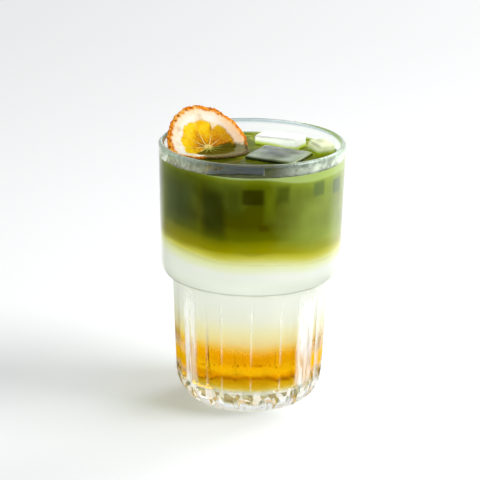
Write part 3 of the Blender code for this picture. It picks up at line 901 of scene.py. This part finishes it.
def ice_material(name, cloud_low, cloud_high, edge_colour, top_colour, side_colour, side_cloud=1.0):
    """Wet ice: clear glossy skin, cloudy heart from cloud_low to cloud_high, matcha at the waterline."""
    material, add = new_material(name)
    place = add("TexCoord").outputs["Object"]
    _, _, z = add("SeparateXYZ", Vector=place).outputs
    _, _, upward = add("SeparateXYZ", Vector=add("NewGeometry").outputs["Normal"]).outputs
    melt = add("TexNoise", Vector=place, Scale=scale_for(8.3333), Detail=2.0)
    bump = add("Bump", Strength=0.25, Distance=0.001, Height=melt)
    lifted = add("Math", TIMES_PLUS, melt, 1.5 * MM, z)
    above = add("MapRange", Value=lifted, From=(DRINK_TOP + 0.4 * MM, DRINK_TOP + 3.4 * MM))
    tint = add("ValToRGB", {0.0: "#7c9010", 0.35: edge_colour, 0.8: top_colour}, Fac=above)
    # Upright faces take side_colour: near black on the clear ice as painted shade, the matcha's green on
    # the stained ice
    level = add("MapRange", Value=upward, From=(0.5, 0.9))
    clear = add("Mix", BLEND, level, i6=side_colour, i7="#e8f2ee")
    skin = add("BsdfPrincipled", Base_Color=clear, Roughness=0.03, IOR=ICE_IOR, Transmission_Weight=1.0,
        Specular_IOR_Level=0.3, Normal=bump)
    share = add("MapRange", Value=upward, From=(0.2, 0.9), To=(0.45, 0.95))
    heart = add("MixShader", Fac=share, i1=add("BsdfTranslucent", Color=tint),
        i2=add("BsdfDiffuse", Color=tint))
    streaks = add("TexNoise", Vector=place, Scale=scale_for(21.739), Detail=2.0)
    cloud = add("MapRange", Value=streaks, From=(0.43, 0.58), To=(cloud_low, cloud_high))
    upright = add("MapRange", SMOOTH, Value=upward, From=(0.30, 0.85), To_Min=side_cloud)
    cloud = add("Math", TIMES, cloud, upright)
    let_light_through(add, add("MixShader", Fac=cloud, i1=skin, i2=heart), "#f2f8f4")
    return material


def make_ice():
    """The floating and sunken pieces; returns the cutters that hollow the drink for them."""
    sunk = ice_material("clear_ice_under_the_drink", 0.02, 0.14, "#5c7478", "#a0b4b4", "#101c1c")
    clear = ice_material("clear_wet_ice", 0.06, 0.42, "#a8bc50", "#e8f4f0", "#101400", side_cloud=0.06)
    cloudy = ice_material("cloudy_wet_ice", 0.80, 0.97, "#c8dc50", "#ffffff", "#e8f2ee")
    glassy = ice_material("matcha_stained_ice", 0.20, 0.80, "#b8d028", "#f4f8d0", "#c8d848")
    finish = {"ice_slab": clear, "ice_back": cloudy, "ice_right": glassy, "ice_awash": sunk}
    cutters = []
    for name, spec in ICE.items():
        mesh = ice_mesh(name, spec, 0.0, ICE_EDGE, 5)
        piece = add_piece(name + "_block", mesh, finish[name], smooth_angle=60)
        if name != "ice_awash":
            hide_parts(name)
        hollow = ice_mesh("hollow_" + name, spec, -HOLLOW_SHRINK, ICE_EDGE, 3)
        cutters.append(add_object("hollow_" + name, hollow))
    return cutters


# ---------------- orange slice

def bend_point(across, along, lift):
    """Place a point of the flat disc on the bent slice."""
    turn = SLICE_LEAN_ANGLE - SLICE_FLAT_ANGLE
    bend_radius = 2.0 * SLICE_BEND_HALF / turn
    middle = 0.5 * (SLICE_LEAN_ANGLE + SLICE_FLAT_ANGLE)
    inside = max(-SLICE_BEND_HALF, min(SLICE_BEND_HALF, along))
    angle = middle + inside / bend_radius
    beyond = along - inside
    back = bend_radius * (math.sin(angle) - math.sin(middle)) + beyond * math.cos(angle)
    up = bend_radius * (math.cos(middle) - math.cos(angle)) + beyond * math.sin(angle)
    back -= lift * math.sin(angle)
    up += lift * math.cos(angle)
    right = Vector((math.cos(SLICE_TURN), math.sin(SLICE_TURN), 0.0))
    away = Vector((-math.sin(SLICE_TURN), math.cos(SLICE_TURN), 0.0))
    return SLICE_HUB + right * across + away * back + Vector((0.0, 0.0, up))


def bell(angle, centre, width):
    """Smooth bump of height 1 round a centre angle; centre and width in degrees."""
    away = (math.degrees(angle) - centre + 180.0) % 360.0 - 180.0
    return math.exp(-(away / width) ** 2)


def slice_outline(angle):
    """Radius of the rind at one angle: drawn in where it dried, bumpy all round."""
    drawn = 1.0 + sum(height * bell(angle, centre, width) for height, centre, width in RIND_BULGES)
    spot = Vector((math.cos(angle), math.sin(angle), 0.3))
    bumps = 0.55 * noise.noise(spot * 5.0) + 0.50 * noise.noise(spot * 17.0)
    bumps += 0.35 * noise.noise(spot * 41.0)
    return (SLICE_RADIUS + SLICE_TALLER * math.sin(angle)) * drawn + bumps * MM


def segment_edges():
    """Angles of the membranes: uneven segments, from a seeded draw."""
    draw = random.Random(11)
    widths = [draw.uniform(0.7, 1.3) for _ in range(SEGMENTS)]
    scale = 2.0 * math.pi / sum(widths)
    edges = [math.radians(8.0)]
    for width in widths:
        edges.append(edges[-1] + width * scale)
    return edges


MEMBRANES = segment_edges()
SEGMENT_REACH = [random.Random(5 + index).uniform(-0.030, 0.025) for index in range(SEGMENTS)]


def slice_parts(share, angle):
    """Flesh, soaked and rind amounts, 0 to 1 each, at a share of the radius and an angle."""
    turned = (angle - MEMBRANES[0]) % (2.0 * math.pi) + MEMBRANES[0]
    index = max(i for i in range(SEGMENTS) if MEMBRANES[i] <= turned + 1e-9)
    near = min(turned - MEMBRANES[index], MEMBRANES[index + 1] - turned) * share * SLICE_RADIUS
    reach = PULP_SHARE + 0.030 * math.cos(angle) + SEGMENT_REACH[index]
    reach -= 0.035 * (1.0 - blend(near, 0.0, 2.2 * MM)) + 0.13 * bell(angle, 74.0, 6.0)
    reach += 0.045 * bell(angle, 125.0, 40.0) + 0.050 * bell(angle, 138.0, 18.0)
    reach += 0.020 * bell(angle, 50.0, 20.0)
    reach += 0.018 * noise.noise(Vector((math.cos(angle), math.sin(angle), 2.0)) * 9.0)
    flesh = blend(near, 0.5 * MEMBRANE_HALF, 1.8 * MEMBRANE_HALF)
    flesh = max(flesh, 0.93 * blend(share, 0.20, 0.44))
    flesh *= blend(share, 0.07, 0.15) * (1.0 - blend(share, reach - 0.015, reach + 0.02))
    ragged = 0.16 * noise.noise(Vector((share * 9.0, angle * 3.0, 5.0)))
    outer = blend(share, 0.52, 0.74)
    start = SOAKED_FROM + (SOAKED_PITH_FROM - SOAKED_FROM) * outer
    end = SOAKED_TO + (SOAKED_PITH_TO - SOAKED_TO) * outer
    soaked = blend(angle_between(angle, start, end) + ragged, -0.02, 0.10)
    soaked *= blend(share, 0.02, 0.10)
    ring = 0.928 + 0.035 * noise.noise(Vector((math.cos(angle), math.sin(angle), 7.0)) * 11.0)
    ring -= 0.050 * bell(angle, 195.0, 40.0) + 0.030 * bell(angle, 85.0, 25.0)
    return flesh, soaked, blend(share, ring - 0.02, ring + 0.02)


def angle_between(angle, start, end):
    """Radians inside a sector, measured from its nearer edge; negative outside it."""
    middle = 0.5 * (start + end)
    away = abs((angle - middle + math.pi) % (2.0 * math.pi) - math.pi)
    return 0.5 * (end - start) - away


def slice_relief(share, angle):
    """Height of the upper face above the middle plane: thin where soaked, flesh between membranes."""
    flesh, soaked, _ = slice_parts(share, angle)
    edge = blend(share, 0.88, 1.0)
    half = 0.5 * (SLICE_THICKNESS * (1.0 - edge) + SLICE_EDGE_THICKNESS * edge)
    below = blend(-math.sin(angle) * share, -0.02, 0.22)
    half += (SOAKED_HALF_THICKNESS - half) * max(below, soaked * 0.6)
    spot = Vector((math.cos(angle), math.sin(angle), 0.0)) * share
    grain = 0.10 * noise.noise(spot * 26.0) + 0.26 * flesh * noise.noise(spot * 48.0)
    return half - PULP_SINK * flesh * (1.0 - below) + grain * MM


def slice_under(share, angle):
    """Height of the lower face under the middle plane."""
    edge = blend(share, 0.88, 1.0)
    return 0.5 * (SLICE_THICKNESS * (1.0 - edge) + SLICE_EDGE_THICKNESS * edge) - 0.5 * MM


def slice_curl(share, angle):
    """How far the dried rim curls towards the upper face; the soaked part lies flat."""
    dry = blend(math.sin(angle), -0.35, 0.25)
    return SLICE_CURL * share ** 3 * (0.6 + 0.4 * math.sin(2.0 * angle + 0.8)) * dry


def slice_mesh(name, columns, shares, extra, relief, under):
    """Closed disc with two faces; its UV map holds the angle and the share of the radius."""
    bm = bmesh.new()
    polar = bm.loops.layers.uv.new("polar")
    parts = bm.verts.layers.float_color.new("parts")
    faces = []
    for side, height in ((1.0, relief), (-1.0, under)):
        loops = []
        for share in shares:
            loop = []
            for column in range(columns):
                angle = 2.0 * math.pi * column / columns
                radius = (slice_outline(angle) + extra) * share
                lift = side * (height(share, angle) + extra) + slice_curl(share, angle)
                off_eye = SLICE_EYE * (1.0 - share)
                corner = bm.verts.new(bend_point(radius * math.cos(angle) + off_eye.x,
                                                 radius * math.sin(angle) + off_eye.y, lift))
                corner[parts] = slice_parts(share, angle) + (1.0,)
                loop.append(corner)
            loops.append(loop)
        hub = bm.verts.new(bend_point(SLICE_EYE.x, SLICE_EYE.y, side * (height(0.0, 0.0) + extra)))
        faces.append((hub, loops))
    (top_hub, top), (low_hub, low) = faces

    def add_face(corners, places):
        face = bm.faces.new(corners)
        for corner, place in zip(face.loops, places):
            corner[polar].uv = place

    for column in range(columns):
        after = (column + 1) % columns
        u, v = column / columns, (column + 1) / columns
        add_face((top_hub, top[0][column], top[0][after]), ((u, 0.0), (u, shares[0]), (v, shares[0])))
        add_face((low_hub, low[0][after], low[0][column]), ((u, 0.0), (v, shares[0]), (u, shares[0])))
        for index, (near, far) in enumerate(zip(top, top[1:])):
            a, b = shares[index], shares[index + 1]
            add_face((near[column], far[column], far[after], near[after]), ((u, a), (u, b), (v, b), (v, a)))
        for index, (near, far) in enumerate(zip(low, low[1:])):
            a, b = shares[index], shares[index + 1]
            add_face((near[after], far[after], far[column], near[column]), ((v, a), (v, b), (u, b), (u, a)))
        add_face((top[-1][column], low[-1][column], low[-1][after], top[-1][after]),
                 ((u, 1.0), (u, 1.02), (v, 1.02), (v, 1.0)))
    return mesh_from(bm, name)


def slice_material():
    """Dried orange: brown-orange oily rind, chalky pith, glassy flesh between pale membranes."""
    material, add = new_material("dried_orange_rind_pith_and_flesh")
    place = add("TexCoord").outputs["Object"]
    made = add("VertexColor", {"layer_name": "parts"})
    flesh, soaked, rind = add("SeparateColor", Color=made).outputs
    polar = add("UVMap", {"uv_map": "polar"})
    turn, reach, _ = add("SeparateXYZ", Vector=polar).outputs
    cloud = add("TexNoise", Vector=place, Scale=scale_for(5.2632), Detail=2.0)
    deeper = add("MapRange", SMOOTH, Value=turn, From=(0.26, 0.08), To_Max=0.65)

    # Flesh: juice sacs that point to the middle, riper outward, with small glints
    drawn = add("VectorMath", TIMES, polar, (SACS_ROUND, SACS_ACROSS, 1.0))
    sacs = add("TexVoronoi", {"feature": "SMOOTH_F1"}, Vector=drawn, Scale=1.0, Smoothness=0.6)
    outward = add("Math", TIMES_PLUS, reach, 0.75, cloud)
    ripe = add("Math", TIMES_PLUS, sacs, -0.35, outward)
    juicy = add("ValToRGB", {0.25: "#a06800", 0.42: "#d89000", 0.58: "#f0b400", 0.78: "#fcd000",
        0.95: "#ffe020"}, Fac=ripe)
    juicy = add("Mix", BLEND, deeper, i6=juicy, i7="#b46000")
    glint = add("TexNoise", Vector=place, Scale=scale_for(0.66667), Detail=1.0)
    glint = add("MapRange", Value=glint, From=(0.56, 0.74), To_Max=0.45)
    juicy = add("Mix", BLEND, glint, i6=juicy, i7="#ffe46c")

    # Pith and membranes: chalky, stained by the oil near the rind
    chalk = add("ValToRGB", {0.3: "#e4d4b4", 0.44: "#fff8e6", 0.7: "#fffffa"}, Fac=cloud)
    chalk = add("Mix", BLEND, deeper, i6=chalk, i7="#f0c89c")
    by_rind = add("MapRange", Value=reach, From=(0.76, 0.92), To_Max=0.55)
    chalk = add("Mix", BLEND, by_rind, i6=chalk, i7="#ffd488")
    pale = add("MapRange", Value=reach, From=(0.45, 0.7))
    web = add("Mix", BLEND, pale, i6="#f4dc80", i7=chalk)

    # Rind: oil glands about a millimetre apart, each toasted its own way
    oil = add("TexVoronoi", Vector=place, Scale=scale_for(1.1111))
    skin = add("ValToRGB", {0.15: "#a84c08", 0.45: "#e08418", 0.8: "#f8a830"}, Fac=oil)
    pores = add("SeparateColor", Color=oil.outputs["Color"])
    toasted = add("ValToRGB", {0.0: "#8c4208", 0.35: "#e07c14", 0.7: "#fcb030", 1.0: "#ffdc78"}, Fac=pores)
    skin = add("Mix", BLEND, 0.6, i6=skin, i7=toasted)

    # Soaked part: the same three, darkened by the matcha and glossier
    dry = add("Mix", BLEND, rind, i6=add("Mix", BLEND, flesh, i6=web, i7=juicy), i7=skin)
    wet_flesh = add("Mix", BLEND, cloud, i6="#4a4400", i7="#6e6608")
    wet_web = add("Mix", BLEND, pale, i6="#a8a440", i7="#88845c")
    wet = add("Mix", BLEND, rind, i6=add("Mix", BLEND, flesh, i6=wet_web, i7=wet_flesh), i7="#605024")
    colour = add("Mix", BLEND, soaked, i6=dry, i7=wet)
    gloss = add("MapRange", Value=flesh, To=(0.62, 0.30))
    slick = add("MapRange", Value=soaked, To=(1.0, 0.25))
    rough = add("Math", TIMES, gloss, slick)
    bump = add("Bump", Strength=0.25, Distance=0.0004, Height=oil)
    body = add("BsdfPrincipled", Base_Color=colour, Roughness=rough, Specular_IOR_Level=0.06, Normal=bump)
    glow = add("BsdfTranslucent", Color=colour)
    add("OutputMaterial", Surface=add("MixShader", Fac=0.30, i1=body, i2=glow))
    return material


def make_slice():
    """The dried wheel; returns the cutter that lets it into the drink."""
    shares = [(step + 1) / SLICE_RINGS for step in range(SLICE_RINGS)]
    mesh = slice_mesh("orange_wheel", SLICE_COLUMNS, shares, 0.0, slice_relief, slice_under)
    piece = add_piece("orange_wheel", mesh, slice_material())
    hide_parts("orange_slice")
    hollow = slice_mesh("hollow_slice", 72, (0.15, 0.32, 0.5, 0.75, 1.0), -HOLLOW_SHRINK,
                        lambda share, angle: 0.4 * SLICE_THICKNESS, slice_under)
    return add_object("hollow_slice", hollow)


# ---------------- build

def main():
    """Studio first, then every piece."""
    make_studio()
    make_glass()
    cutters = make_ice()
    cutters.append(make_slice())
    make_orange()
    make_underside()
    make_drink(cutters)


main()
